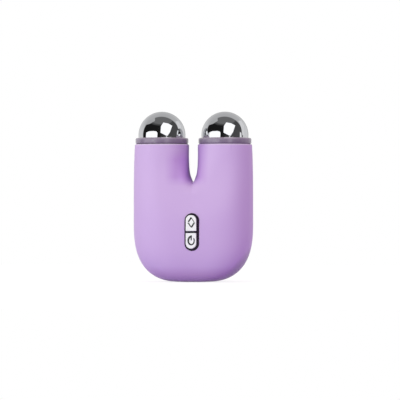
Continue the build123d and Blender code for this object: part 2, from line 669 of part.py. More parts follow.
with BuildPart() as microcontroller:
    with BuildSketch(Plane.XZ.offset(BOARD_BACK)):
        with Locations(CONTROLLER_PLACE):
            Rectangle(CONTROLLER_SIDE, CONTROLLER_SIDE)
    extrude(amount=-CONTROLLER_HEIGHT)
save(microcontroller.part, "microcontroller")

with BuildPart() as transformer:
    with BuildSketch(Plane.XZ.offset(BOARD_BACK)):
        with Locations(TRANSFORMER_PLACE):
            RectangleRounded(TRANSFORMER_WIDTH, TRANSFORMER_LENGTH, TRANSFORMER_CORNER)
    extrude(amount=-TRANSFORMER_HEIGHT)
save(transformer.part, "step_up_transformer")

# ---- chassis, battery and motor -----------------------------------------------------------
with BuildPart() as chassis:
    with BuildSketch(Plane.XZ.offset(-CHASSIS_HALF)) as plate:
        with Locations((0, CHASSIS_BOTTOM)):
            Rectangle(
                2 * CHASSIS_HALF_WIDTH, CHASSIS_TOP - CHASSIS_BOTTOM, align=(Align.CENTER, Align.MIN)
            )
        chamfer(plate.vertices().group_by(Axis.Y)[0], CHASSIS_CORNER)
        with Locations(*CHASSIS_SCREWS):
            Circle(SMALL_PILOT_RADIUS, mode=Mode.SUBTRACT)
        with Locations((BATTERY_LEAD_X, BATTERY_LEAD_Z)):
            Rectangle(
                LEAD_WIDTH + LEAD_SLOT_CLEARANCE, LEAD_THICKNESS + LEAD_SLOT_CLEARANCE, mode=Mode.SUBTRACT
            )
        with Locations((MOTOR_LEFT - LEAD_THICKNESS / 2, MOTOR_LEAD_Z)):
            Rectangle(
                LEAD_THICKNESS + LEAD_SLOT_CLEARANCE, LEAD_WIDTH + LEAD_SLOT_CLEARANCE, mode=Mode.SUBTRACT
            )
    extrude(amount=2 * CHASSIS_HALF)
    post(BOARD_SCREWS, BOSS_RADIUS, CHASSIS_HALF, BOARD_BACK)
    post(
        BOARD_SCREWS,
        SMALL_PILOT_RADIUS,
        BOARD_BACK - BOARD_PILOT_DEPTH,
        BOARD_BACK,
        mode=Mode.SUBTRACT,
    )
    with BuildSketch(side_plane(CLIP_RIGHT)):  # the clip that grips the motor's boot
        with Locations((-CHASSIS_HALF, MOTOR_Z)):
            Rectangle(
                -CHASSIS_HALF - CLIP_BACK, 2 * (BOOT_RADIUS + CLIP_WALL), align=(Align.MAX, Align.CENTER)
            )
        with Locations((MOTOR_FORWARD, MOTOR_Z)):
            Circle(BOOT_RADIUS + CLIP_CLEARANCE, mode=Mode.SUBTRACT)
    extrude(amount=CLIP_RIGHT - CLIP_LEFT)
    rail_x = BATTERY_HALF_WIDTH + RAIL_CLEARANCE + RAIL_WIDTH / 2
    with BuildSketch(Plane.XZ.offset(RAIL_BACK)):
        with Locations(*[(side * rail_x, BATTERY_TOP - RAIL_HEIGHT) for side in LIMBS.values()]):
            Rectangle(RAIL_WIDTH, RAIL_HEIGHT)
    extrude(amount=-CHASSIS_HALF - RAIL_BACK)
save(chassis.part, "chassis")

with BuildPart() as chassis_screws:
    post(CHASSIS_SCREWS, SMALL_SCREW_RADIUS, -CHASSIS_HALF, CHASSIS_HALF + CHASSIS_SCREW_GRIP)
    post(CHASSIS_SCREWS, SMALL_HEAD_RADIUS, -CHASSIS_HALF - SMALL_HEAD_HEIGHT, -CHASSIS_HALF)
save(chassis_screws.part, "chassis_screws")

with BuildPart() as battery:
    with BuildSketch(Plane.XZ.offset(BATTERY_BACK)):
        with Locations((0, (BATTERY_TOP + BATTERY_BOTTOM) / 2)):
            RectangleRounded(2 * BATTERY_HALF_WIDTH, BATTERY_TOP - BATTERY_BOTTOM, BATTERY_CORNER)
    extrude(amount=BATTERY_FRONT - BATTERY_BACK)
save(battery.part, "battery")

with BuildPart() as battery_pad:
    with BuildSketch(Plane.XZ.offset(BATTERY_FRONT)):
        with Locations((0, (BATTERY_TOP + BATTERY_BOTTOM) / 2)):
            Rectangle(
                2 * (BATTERY_HALF_WIDTH - BATTERY_PAD_MARGIN),
                BATTERY_TOP - BATTERY_BOTTOM - 2 * BATTERY_PAD_MARGIN,
            )
    extrude(amount=-CHASSIS_HALF - BATTERY_FRONT)
save(battery_pad.part, "battery_pad")

with BuildPart() as battery_lead:
    with BuildSketch(side_plane(BATTERY_LEAD_X)):
        with BuildLine():
            FilletPolyline(
                (BATTERY_LEAD_FORWARD, BATTERY_TOP),
                (BATTERY_LEAD_FORWARD, BATTERY_LEAD_Z),
                (BOARD_BACK, BATTERY_LEAD_Z),
                radius=LEAD_BEND,
            )
        trace(line_width=LEAD_THICKNESS)
    extrude(amount=LEAD_WIDTH / 2, both=True)
save(battery_lead.part, "battery_lead")

with BuildPart() as motor_can:
    with BuildSketch(side_plane(MOTOR_RIGHT)):
        with Locations((MOTOR_FORWARD, MOTOR_Z)):
            Circle(MOTOR_RADIUS)
    extrude(amount=MOTOR_RIGHT - MOTOR_LEFT)
    with BuildSketch(side_plane(MOTOR_RIGHT)):
        with Locations((MOTOR_FORWARD, MOTOR_Z)):
            Circle(SHAFT_BORE_RADIUS)
    extrude(amount=SHAFT_BORE_DEPTH, mode=Mode.SUBTRACT)
save(motor_can.part, "motor_can")

with BuildPart() as motor_boot:
    with BuildSketch(side_plane(BOOT_RIGHT)):
        with Locations((MOTOR_FORWARD, MOTOR_Z)):
            Circle(BOOT_RADIUS)
            Circle(MOTOR_RADIUS, mode=Mode.SUBTRACT)
    extrude(amount=BOOT_RIGHT - BOOT_LEFT)
save(motor_boot.part, "motor_boot")

with BuildPart() as motor_weight:
    with BuildSketch(side_plane(WEIGHT_RIGHT)):
        with Locations((MOTOR_FORWARD, MOTOR_Z)):
            Circle(WEIGHT_RADIUS)
            Rectangle(
                2 * WEIGHT_RADIUS, WEIGHT_RADIUS, align=(Align.CENTER, Align.MIN), mode=Mode.SUBTRACT
            )
            Circle(WEIGHT_HUB_RADIUS)
    extrude(amount=WEIGHT_RIGHT - WEIGHT_LEFT)
    with BuildSketch(side_plane(WEIGHT_RIGHT)):
        with Locations((MOTOR_FORWARD, MOTOR_Z)):
            Circle(SHAFT_RADIUS)
    extrude(amount=WEIGHT_RIGHT - MOTOR_RIGHT + SHAFT_BORE_DEPTH - SHAFT_END_CLEARANCE)
save(motor_weight.part, "motor_weight")

with BuildPart() as motor_lead:
    with BuildSketch(Plane.XZ.offset(MOTOR_FORWARD)):
        with Locations((MOTOR_LEFT - LEAD_THICKNESS / 2, MOTOR_LEAD_Z)):
            Rectangle(LEAD_THICKNESS, LEAD_WIDTH)
    extrude(amount=BOARD_BACK - MOTOR_FORWARD)
save(motor_lead.part, "motor_lead")

# ---- charging jack ------------------------------------------------------------------------
with BuildPart() as charging_jack:
    with BuildSketch(Plane.XZ):
        band(JACK_RADIUS, JACK_BOTTOM, JACK_TOP)
        band(JACK_FLANGE_RADIUS, JACK_FLANGE_BOTTOM, JACK_FLANGE_TOP)
        band(JACK_BORE_RADIUS, JACK_BOTTOM, JACK_BORE_TOP, mode=Mode.SUBTRACT)
    revolve(axis=Axis.Z)
save(charging_jack.part, "charging_jack")

with BuildPart() as jack_lead:
    with BuildSketch(side_plane(0)):
        with BuildLine():
            FilletPolyline(
                (JACK_LEAD_FORWARD, JACK_TOP),
                (JACK_LEAD_FORWARD, JACK_LEAD_Z),
                (BOARD_BACK, JACK_LEAD_Z),
                radius=LEAD_BEND,
            )
        trace(line_width=LEAD_THICKNESS)
    extrude(amount=LEAD_WIDTH / 2, both=True)
save(jack_lead.part, "jack_lead")
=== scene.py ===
"""Facial toning device: materials, button symbols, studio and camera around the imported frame.

Metres, in the frame's own axes: +Z is up and the front with the two buttons faces -Y.
A pair that says where a tone changes gives the place where the change starts and where it ends.
"""

from math import cos, pi, radians, sin, sqrt

import bmesh
import bpy
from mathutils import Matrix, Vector
from mathutils.bvhtree import BVHTree


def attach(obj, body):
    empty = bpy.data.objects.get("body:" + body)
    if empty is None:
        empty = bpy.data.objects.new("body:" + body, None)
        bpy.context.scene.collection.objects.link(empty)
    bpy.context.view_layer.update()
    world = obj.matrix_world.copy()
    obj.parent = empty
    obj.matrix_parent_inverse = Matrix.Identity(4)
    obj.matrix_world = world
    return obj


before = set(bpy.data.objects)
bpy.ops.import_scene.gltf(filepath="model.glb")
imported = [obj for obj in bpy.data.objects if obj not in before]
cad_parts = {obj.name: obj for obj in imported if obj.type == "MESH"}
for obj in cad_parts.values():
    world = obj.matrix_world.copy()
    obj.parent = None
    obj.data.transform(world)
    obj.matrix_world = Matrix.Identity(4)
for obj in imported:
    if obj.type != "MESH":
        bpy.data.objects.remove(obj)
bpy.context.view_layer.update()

# ---- camera: the photograph's viewing angle -------------------------------------------------
CAMERA_AZIMUTH = 3.9  # degrees to the right of the front
CAMERA_DISTANCE = 1.2
CAMERA_TARGET = Vector((0.00297, 0.0, 0.0369))
CAMERA_LENS = 239.2
CAMERA_CLIP = 0.01

# ---- light ----------------------------------------------------------------------------------
WHITE = (1.0, 1.0, 1.0, 1.0)
SKY_COLOUR = (0.84, 0.75, 0.77, 1.0)
KEY_ENERGY = 5.95
KEY_COLOUR = (0.733, 1.0, 0.702)
KEY_SIZE = 0.45
KEY_PLACE = Vector((-0.667, -0.854, 0.231))
KEY_AIM = Vector((0.0, 0.0, 0.04))
FLOOR_SIZE = 0.6
FLOOR_ALBEDO = 0.30
FLOOR_GLOW = 0.80
FLOOR_BOUNCE = (0.42, 0.23, 0.63, 1.0)  # what the floor throws back up at the object

# ---- what only reflections see: (place from 0 to 1, brightness) along one axis of the world ---
STUDIO_TONES = [(0.0, 0.012), (0.42, 0.014), (0.70, 0.062), (1.0, 0.085)]  # left to right
CEILING_TONES = [  # by height
    (0.0, 0.0),
    (0.855, 0.0),
    (0.875, 0.075),
    (0.9, 0.085),
    (0.915, 0.17),
    (1.0, 0.17),
]
BACKDROP_TONES = [(0.0, 0.74), (0.60, 0.74), (0.80, 0.56), (1.0, 0.50)]  # by height
BACKDROP_FALL = [(0.0, 1.0), (0.93, 1.0), (1.0, 0.55)]  # front to back
BACKDROP_EDGE = (0.595, 0.625)  # front to back, where the studio gives way to the backdrop

# ---- studio cards that only reflections show ------------------------------------------------
CARD_DISTANCE = 1.5
CARD_STEPS = 8  # points along each side of an outline
CARD_RINGS = 4
HEADS_MIDDLE = Vector((0.0, 0.0, 0.066))
# strength, then the outline of the card's reflection as the front view shows it on a ball, in
# ball radii to the right of the ball's middle and above it
CARDS = {
    "left_softbox": (
        1.35,
        [
            (-0.70, -0.30),
            (-0.21, -0.30),
            (-0.19, 0.09),
            (-0.23, 0.15),
            (-0.34, 0.17),
            (-0.55, 0.16),
            (-0.66, 0.11),
        ],
    ),
    "right_softbox": (
        1.35,
        [
            (0.06, 0.53),
            (0.27, 0.49),
            (0.43, 0.40),
            (0.34, 0.12),
            (0.24, -0.03),
            (0.19, -0.03),
            (-0.06, 0.10),
            (-0.04, 0.38),
        ],
    ),
    "low_card": (1.2, [(0.20, -0.05), (0.42, -0.30), (-0.06, -0.30)]),
    "left_sail": (
        0.5,
        [(-0.72, 0.42), (-0.50, 0.48), (-0.30, 0.60), (-0.30, 0.74), (-0.56, 0.62)],
    ),
    "right_sail": (
        0.8,
        [
            (0.73, 0.0),
            (0.82, 0.0),
            (0.80, 0.42),
            (0.68, 0.62),
            (0.56, 0.60),
            (0.63, 0.45),
            (0.69, 0.28),
        ],
    ),
    "right_flag_gap": (1.0, [(0.63, 0.13), (0.69, 0.10), (0.72, -0.30), (0.63, -0.30)]),
}

# ---- where the lacquer's painted highlight and painted shade change -------------------------
# painted highlight: the lacquer is paler along the top rims of the limbs
PAINTED_RIM_HIGHLIGHT = (0.0614, 0.0621)  # height
# painted shade along the foot, darker towards the bottom
FOOT_SHADE = (0.0072, 0.0030)  # height
# painted shade beside the fork, on the limbs' inner flanks: where it fades in, going up
FORK_SHADE_BOTTOM = (0.0432, 0.0472)  # height
# painted shade on the fork's inner walls: where it fades in, going up
FORK_WALL_SHADE_BOTTOM = (0.0446, 0.0486)  # height
# painted shade beside the fork: where it ends at the top on the left, and how far across it reaches
LEFT_SHADE_TOP = (0.0595, 0.0550)  # height
LEFT_SHADE = (-0.0122, -0.0075)  # across
LEFT_NEAR_WALL = (-0.0068, -0.0046)  # across
RIGHT_SHADE = (0.0075, 0.0034)  # across
# painted shade on the fork's inner walls: its reach from the middle, and how dark it gets
FORK_WALL_SHADE = (0.0031, 0.0015)  # away from the middle
FORK_WALL_SHADE_DEPTH = 0.75
# painted shade beside the fork: where the right side's shade gives way to the left side's
MIDDLE_BLEND = (0.001, -0.001)  # across, from the right side's tones to the left side's
# painted shade at the lower right corner, bounded by a line that leans with the height
CORNER_SHADE_SLOPE = 0.9
CORNER_SHADE = (0.0115, 0.0145)  # across, less CORNER_SHADE_SLOPE of the height

# ---- where the collars' and the caps' painted shade and highlights change -------------------
# painted shade on the collars, darker towards their lower edge
COLLAR_SHADE = (0.0624, 0.0645)  # height
# painted highlight along the collars' top rim
COLLAR_RIM_HIGHLIGHT = (0.0644, 0.0649)  # height
# painted shade on the caps: a dark band at their joint, and along the top rim and the left rim
CAP_JOINT_SHADE_BOTTOM = (0.02212, 0.02220)  # height
CAP_JOINT_SHADE_TOP = (0.0228, 0.0227)  # height
CAP_TOP_RIM_SHADE = (0.0301, 0.0302)  # height
CAP_LEFT_RIM_SHADE = (-0.00228, -0.00236)  # across

# ---- moulded pieces: how many grains wide their patches of tone and of gloss are --------------
TONE_PATCH = 12
GLOSS_PATCH = 3

# ---- button symbols, as x and z on the buttons' faces ---------------------------------------
SYMBOL_PROUD = 0.000035
SYMBOL_SUNK = 0.00012
RAY_START = -0.1  # y, well in front of the buttons
WELD_SCALE = 1e7  # corners that round to the same whole numbers at this scale are one vertex
LINE_STEPS = 6
ARC_STEPS = 36
DIAMOND = Vector((0.00018, 0.0269))
DIAMOND_HALF = (0.00134, 0.0022)
DIAMOND_STROKES = [  # first corner, how far the stroke starts from it, last corner, both widths
    ("left", (0.0, 0.00025), "top", (0.00056, 0.00068)),
    ("top", (0.0001, -0.0003), "right", (0.0003, 0.0003)),
    ("right", (0.0, -0.0001), "low", (0.00064, 0.00062)),
    ("left", (-0.0001, -0.00015), "low", (0.0006, 0.0004)),
]
POWER = Vector((0.00014, 0.0188))
POWER_HALF = (0.00134, 0.00182)
POWER_TURN = (97, 398)  # degrees, anticlockwise from +x
POWER_WIDTHS = (0.00084, 0.00044)
POWER_BAR = (0.00235, 0.0001)  # its top and bottom above the middle
POWER_BAR_WIDTHS = (0.00062, 0.00044)


# ---- small helpers --------------------------------------------------------------------------
def grey(value):
    return (value, value, value, 1.0)


def rgb(text):
    """Linear colour from a written sRGB hex colour."""
    parts = [int(text[i : i + 2], 16) / 255 for i in (0, 2, 4)]
    return (*[((c + 0.055) / 1.055) ** 2.4 if c > 0.04045 else c / 12.92 for c in parts], 1.0)


def add_object(name, data):
    """A new object with this data, in the scene."""
    made = bpy.data.objects.new(name, data)
    bpy.context.scene.collection.objects.link(made)
    return made


def add_mesh(name, mesh, material):
    """A new object from a bmesh, which this uses up."""
    data = bpy.data.meshes.new(name)
    mesh.to_mesh(data)
    mesh.free()
    data.materials.append(material)
    return add_object(name, data)


class Tree:
    """The node tree of a material or world, with short ways to add nodes."""

    def __init__(self, owner, empty=False):
        owner.use_nodes = True
        self.nodes = owner.node_tree.nodes
        self.links = owner.node_tree.links
        if empty:
            self.nodes.clear()

    def node(self, kind, inputs=(), **settings):
        """A new node, each of its inputs set to a value or linked to another node's output."""
        made = self.nodes.new(kind)
        for key, value in settings.items():
            setattr(made, key, value)
        for socket, value in dict(inputs).items():
            if isinstance(value, bpy.types.NodeSocket):
                self.links.new(value, made.inputs[socket])
            else:
                made.inputs[socket].default_value = value
        return made

    def math(self, operation, first, second):
        return self.node("ShaderNodeMath", {0: first, 1: second}, operation=operation).outputs[0]

    def axes(self, place):
        """The x, y and z of a place, by the names X, Y and Z."""
        return self.node("ShaderNodeSeparateXYZ", {"Vector": place}).outputs

    def blend(self, factor, first, second):
        """The first shader where factor is 0 and the second where it is 1."""
        return self.node("ShaderNodeMixShader", {0: factor, 1: first, 2: second}).outputs[0]


class Look(Tree):
    """A procedural material on one Principled shader, with helpers for its usual nodes."""

    def __init__(self, name, **fixed):
        self.material = bpy.data.materials.new(name)
        super().__init__(self.material)
        self.shader = self.nodes["Principled BSDF"]
        for socket, value in fixed.items():
            self.shader.inputs[socket.replace("_", " ")].default_value = value
        self.place = self.node("ShaderNodeTexCoord").outputs["Object"]

    def noise(self, size, detail=3.0, roughness=0.5, stretch=None):
        """Noise whose features are about size metres wide."""
        place = self.place
        if stretch:
            mapping = self.node("ShaderNodeMapping", {"Vector": place, "Scale": stretch})
            place = mapping.outputs["Vector"]
        inputs = {"Vector": place, "Scale": 1 / size, "Detail": detail, "Roughness": roughness}
        return self.node("ShaderNodeTexNoise", inputs).outputs["Fac"]

    def spread(self, source, low, high, start=0.3, end=0.7):
        """The source's start..end range mapped to low..high."""
        inputs = {"Value": source, "From Min": start, "From Max": end, "To Min": low, "To Max": high}
        return self.node("ShaderNodeMapRange", inputs).outputs["Result"]

    def step(self, source, start, end):
        """0 before start, 1 after end; start may be the larger of the two."""
        return self.spread(source, 0.0, 1.0, start, end)

    def height(self, start, end):
        """0 at height start, 1 at height end."""
        return self.step(self.axes(self.place)["Z"], start, end)

    def mix(self, factor, first, second):
        """The first colour where factor is 0 and the second where it is 1."""
        inputs = {0: factor, 6: first, 7: second}  # the node's sockets for colours
        return self.node("ShaderNodeMix", inputs, data_type="RGBA").outputs[2]

    def colour(self, source):
        self.links.new(source, self.shader.inputs["Base Color"])

    def rough(self, source):
        self.links.new(source, self.shader.inputs["Roughness"])

    def bump(self, source, depth, strength=1.0):
        inputs = {"Height": source, "Distance": depth, "Strength": strength}
        normal = self.node("ShaderNodeBump", inputs).outputs["Normal"]
        self.links.new(normal, self.shader.inputs["Normal"])


# ---- materials ------------------------------------------------------------------------------
def soft_touch():
    """Lilac soft-touch lacquer: satin and finely grained, with a painted highlight on its top rims.

    It carries painted shade beside and inside the fork, along the foot and at the lower right corner.
    """
    look = Look(
        "lilac_soft_touch", Sheen_Weight=0.06, Sheen_Roughness=0.4, Specular_IOR_Level=0.4
    )
    place = look.axes(look.place)
    across = place["X"]
    tone = look.mix(look.noise(0.016, detail=2.0), rgb("CDAEE3"), rgb("D0B2E5"))
    speck = look.spread(look.noise(0.00022, detail=2.0), 0.0, 0.05, start=0.45, end=0.75)
    tone = look.mix(speck, tone, rgb("C3A2DA"))
    # painted highlight along the top rims
    tone = look.mix(look.height(*PAINTED_RIM_HIGHLIGHT), tone, rgb("DECDEC"))

    # painted shade beside the fork, in BE95D9 and in the paler C9A0E6 close to the left wall
    on_left = look.step(across, *MIDDLE_BLEND)
    left = look.math("MULTIPLY", look.step(across, *LEFT_SHADE), look.height(*LEFT_SHADE_TOP))
    fork_side_shade = look.mix(on_left, look.step(across, *RIGHT_SHADE), left)
    shaded = look.math("MULTIPLY", fork_side_shade, look.height(*FORK_SHADE_BOTTOM))
    near_wall_shade = look.math("MULTIPLY", look.step(across, *LEFT_NEAR_WALL), on_left)
    tone = look.mix(shaded, tone, look.mix(near_wall_shade, rgb("BE95D9"), rgb("C9A0E6")))

    # painted shade along the foot (C4A0D5)
    tone = look.mix(look.height(*FOOT_SHADE), tone, rgb("C4A0D5"))
    # painted shade (AF9BC0) at the lower right corner
    corner = look.math("SUBTRACT", across, look.math("MULTIPLY", place["Z"], CORNER_SHADE_SLOPE))
    tone = look.mix(look.step(corner, *CORNER_SHADE), tone, rgb("AF9BC0"))

    # painted shade (6D4395) on the fork's inner walls, where little light reaches
    from_middle = look.math("ABSOLUTE", across, 0.0)
    wall = look.spread(from_middle, 0.0, FORK_WALL_SHADE_DEPTH, *FORK_WALL_SHADE)
    fork_wall_shade = look.math("MULTIPLY", wall, look.height(*FORK_WALL_SHADE_BOTTOM))
    look.colour(look.mix(fork_wall_shade, tone, rgb("6D4395")))
    look.rough(look.spread(look.noise(0.0007), 0.46, 0.54))
    look.bump(look.noise(0.00018, roughness=0.6), 0.000004, 0.6)
    return look.material


def chrome():
    """Bright chrome with hairline polishing marks that only show close up."""
    look = Look("ball_chrome_polished", Metallic=1.0, IOR=2.5)
    marks = look.noise(0.0004, detail=4.0, roughness=0.6, stretch=(1.0, 1.0, 14.0))
    look.colour(look.mix(look.noise(0.006, detail=2.0), rgb("DCDDE0"), rgb("E2E3E6")))
    look.rough(look.spread(marks, 0.015, 0.05, start=0.4, end=0.8))
    look.bump(marks, 0.0000003, 0.25)
    return look.material


def smoky():
    """Smoky purple-grey plastic, clear glossy skin on top, painted shade low, painted rim highlight.
    """
    look = Look("collar_smoky_plastic", Coat_Weight=0.6, Coat_Roughness=0.08, IOR=1.49)
    # painted shade, darker towards the lower edge
    tone = look.mix(look.height(*COLLAR_SHADE), rgb("80708B"), rgb("95899E"))
    clouds = look.spread(look.noise(0.0016, roughness=0.6), 0.0, 0.18)
    tone = look.mix(clouds, tone, rgb("594B66"))
    # painted highlight along the top rim (A998AF)
    look.colour(look.mix(look.height(*COLLAR_RIM_HIGHLIGHT), tone, rgb("A998AF")))
    look.rough(look.spread(look.noise(0.0009), 0.16, 0.28))
    look.bump(look.noise(0.0006, detail=2.0), 0.000004, 0.3)
    return look.material


def button_cap():
    """White button plastic; painted shade in the narrow joint between the two caps and along their
    rim.
    """
    look = Look("button_gloss_plastic", Coat_Weight=0.2)
    across = look.axes(look.place)["X"]
    tone = look.mix(look.noise(0.003), rgb("FAFFFD"), rgb("FFFFFF"))
    # painted shade (171A19) in the joint between the caps and along their top and left rims
    joint = look.math("MULTIPLY", look.height(*CAP_JOINT_SHADE_BOTTOM), look.height(*CAP_JOINT_SHADE_TOP))
    rim = look.math("MAXIMUM", look.height(*CAP_TOP_RIM_SHADE), look.step(across, *CAP_LEFT_RIM_SHADE))
    look.colour(look.mix(look.math("MAXIMUM", joint, rim), tone, rgb("171A19")))
    look.rough(look.spread(look.noise(0.00075), 0.22, 0.32))
    look.bump(look.noise(0.00025, roughness=0.6), 0.000002, 0.6)
    return look.material


def moulded(name, tones, gloss, grain, depth, **fixed):
    """Moulded plastic or rubber: two close tones, uneven gloss, its own size and depth of grain."""
    look = Look(name, **fixed)
    look.colour(look.mix(look.noise(grain * TONE_PATCH), rgb(tones[0]), rgb(tones[1])))
    look.rough(look.spread(look.noise(grain * GLOSS_PATCH), *gloss))
    look.bump(look.noise(grain, roughness=0.6), depth, 0.6)
    return look.material


def metal(name, tones, gloss, stretch):
    """Bare metal with drawn or rolled marks along one direction."""
    look = Look(name, Metallic=1.0)
    marks = look.noise(0.0003, detail=4.0, roughness=0.6, stretch=stretch)
    look.colour(look.mix(marks, rgb(tones[0]), rgb(tones[1])))
    look.rough(look.spread(marks, *gloss))
    look.bump(marks, 0.000004, 0.4)
    return look.material


def circuit():
    """Green solder resist with copper tracks showing faintly through it."""
    look = Look("board_solder_resist", Coat_Weight=0.4, Coat_Roughness=0.15)
    inputs = {
        "Vector": look.place,
        "Scale": 420.0,
        "Mortar Size": 0.09,
        "Color1": rgb("1E5B35"),
        "Color2": rgb("22633B"),
        "Mortar": rgb("3E8A50"),
    }
    tracks = look.node("ShaderNodeTexBrick", inputs, offset=0.37).outputs
    clouds = look.spread(look.noise(0.002), 0.0, 0.3)
    look.colour(look.mix(clouds, tracks["Color"], rgb("184A2C")))
    look.rough(look.spread(look.noise(0.0008), 0.3, 0.42))
    look.bump(tracks["Fac"], 0.00001, 0.4)
    return look.material


FINISHES = [
    (("front_shell", "rear_shell"), soft_touch()),
    (("left_ball_electrode", "right_ball_electrode"), chrome()),
    (("left_collar", "right_collar"), smoky()),
    (
        ("left_head_gasket", "parting_seal", "button_gasket", "motor_boot"),
        moulded("seal_rubber", ("33233F", "3D2B4A"), (0.6, 0.75), grain=0.0001, depth=0.00001),
    ),
    # painted light: the right gasket gets a paler copy of the seal rubber, so the dark line under the
    # right collar reads lighter than under the left
    (
        ("right_head_gasket",),
        moulded("seal_rubber_painted_lighter", ("6A567A", "745F84"), (0.6, 0.75), grain=0.0001, depth=0.00001),
    ),
    (
        ("button_bezel",),
        moulded(
            "bezel_gloss_plastic",
            ("1C1125", "23152C"),
            (0.22, 0.32),
            grain=0.0002,
            depth=0.000002,
            Specular_IOR_Level=0.3,
        ),
    ),
    (("upper_button", "lower_button"), button_cap()),
    (
        (
            "left_electrode_carrier",
            "right_electrode_carrier",
            "chassis",
            "button_retainer",
            "upper_switch_plunger",
            "lower_switch_plunger",
            "microcontroller",
            "step_up_transformer",
            "upper_switch",
            "lower_switch",
            "charging_jack",
        ),
        moulded(
            "inner_moulded_plastic",
            ("2C2C31", "37373C"),
            (0.42, 0.58),
            grain=0.00016,
            depth=0.000008,
        ),
    ),
    (
        ("left_contact_strip", "right_contact_strip"),
        metal("brass_strip", ("B58F45", "CBA659"), (0.22, 0.4), stretch=(1.0, 1.0, 0.05)),
    ),
    (
        (
            "electrode_screws",
            "retainer_screws",
            "board_screws",
            "chassis_screws",
            "motor_can",
            "motor_weight",
        ),
        metal("zinc_plated_steel", ("9A9B9C", "B4B4B2"), (0.24, 0.42), stretch=(1.0, 0.1, 1.0)),
    ),
    (("circuit_board",), circuit()),
    (
        ("battery",),
        metal("battery_foil_pouch", ("AEB0B4", "C6C8CB"), (0.3, 0.46), stretch=(0.3, 1.0, 1.0)),
    ),
    (
        ("battery_pad",),
        moulded("closed_cell_foam", ("3E3E42", "515156"), (0.85, 0.97), grain=0.0003, depth=0.00012),
    ),
    (
        ("battery_lead", "motor_lead", "jack_lead"),
        moulded("lead_insulation", ("7A1616", "8F1D1C"), (0.4, 0.52), grain=0.00012, depth=0.000004),
    ),
]

for names, material in FINISHES:
    for name in names:
        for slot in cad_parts[name].material_slots:
            slot.material = material


# ---- symbols on the two buttons -------------------------------------------------------------
def front_of(node):
    """A function that gives y on the front of the node, from x and z."""
    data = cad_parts[node].data
    surface = BVHTree.FromPolygons(
        [v.co.copy() for v in data.vertices], [tuple(p.vertices) for p in data.polygons]
    )

    def front(x, z):
        return surface.ray_cast(Vector((x, RAY_START, z)), Vector((0, 1, 0)))[0].y

    return front


def inlay(name, quads, node, body, material):
    """A thin printed symbol that follows the node's curved front: quads are in x, z."""
    front = front_of(node)
    mesh = bmesh.new()
    made = {}

    def corner(x, z, proud):
        key = (round(x * WELD_SCALE), round(z * WELD_SCALE), proud)
        if key not in made:
            made[key] = mesh.verts.new((x, front(x, z) - proud, z))
        return made[key]

    for quad in quads:
        above = [corner(x, z, SYMBOL_PROUD) for x, z in quad]
        below = [corner(x, z, -SYMBOL_SUNK) for x, z in quad]
        mesh.faces.new(above)
        mesh.faces.new(below[::-1])
    key_of = {vertex: key for key, vertex in made.items()}
    for edge in [edge for edge in mesh.edges if len(edge.link_faces) == 1]:
        first, last = [key_of[vertex] for vertex in edge.verts]
        if first[2] == SYMBOL_PROUD:
            below = [made[(x, z, -SYMBOL_SUNK)] for x, z, _ in (last, first)]
            mesh.faces.new((*edge.verts, *below))
    bmesh.ops.recalc_face_normals(mesh, faces=mesh.faces)
    piece = add_mesh(name, mesh, material)
    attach(piece, body)


def strip(points, widths):
    """Quads along a line of (x, z) points whose width changes evenly from its first to its last."""
    sides = []
    last = len(points) - 1
    for i, (x, z) in enumerate(points):
        before = points[max(i - 1, 0)]
        after = points[min(i + 1, last)]
        run = Vector((after[0] - before[0], after[1] - before[1])).normalized()
        half = (widths[0] + (widths[1] - widths[0]) * i / last) / 2
        sides.append(((x - run.y * half, z + run.x * half), (x + run.y * half, z - run.x * half)))
    return [(a, b, d, c) for (a, b), (c, d) in zip(sides, sides[1:])]


def line(start, end, widths):
    """A straight stroke."""
    points = []
    for t in range(LINE_STEPS + 1):
        x = start[0] + (end[0] - start[0]) * t / LINE_STEPS
        z = start[1] + (end[1] - start[1]) * t / LINE_STEPS
        points.append((x, z))
    return strip(points, widths)


def arc(centre, radii, turn, widths):
    """A round stroke about centre between two angles."""
    points = []
    for t in range(ARC_STEPS + 1):
        angle = radians(turn[0] + (turn[1] - turn[0]) * t / ARC_STEPS)
        points.append((centre.x + radii[0] * cos(angle), centre.y + radii[1] * sin(angle)))
    return strip(points, widths)


def diamond():
    corners = {
        "left": (DIAMOND.x - DIAMOND_HALF[0], DIAMOND.y),
        "right": (DIAMOND.x + DIAMOND_HALF[0], DIAMOND.y),
        "top": (DIAMOND.x, DIAMOND.y + DIAMOND_HALF[1]),
        "low": (DIAMOND.x, DIAMOND.y - DIAMOND_HALF[1]),
    }
    quads = []
    for first, shift, last, widths in DIAMOND_STROKES:
        start = (corners[first][0] + shift[0], corners[first][1] + shift[1])
        quads += line(start, corners[last], widths)
    return quads


def power_sign():
    top, bottom = [(POWER.x, POWER.y + above) for above in POWER_BAR]
    return arc(POWER, POWER_HALF, POWER_TURN, POWER_WIDTHS) + line(top, bottom, POWER_BAR_WIDTHS)


ink = moulded("symbol_ink", ("131916", "1D2320"), (0.5, 0.62), grain=0.0001, depth=0.000004)
inlay("diamond_symbol", diamond(), "upper_button", "upper_button", ink)
inlay("power_symbol", power_sign(), "lower_button", "lower_button", ink)


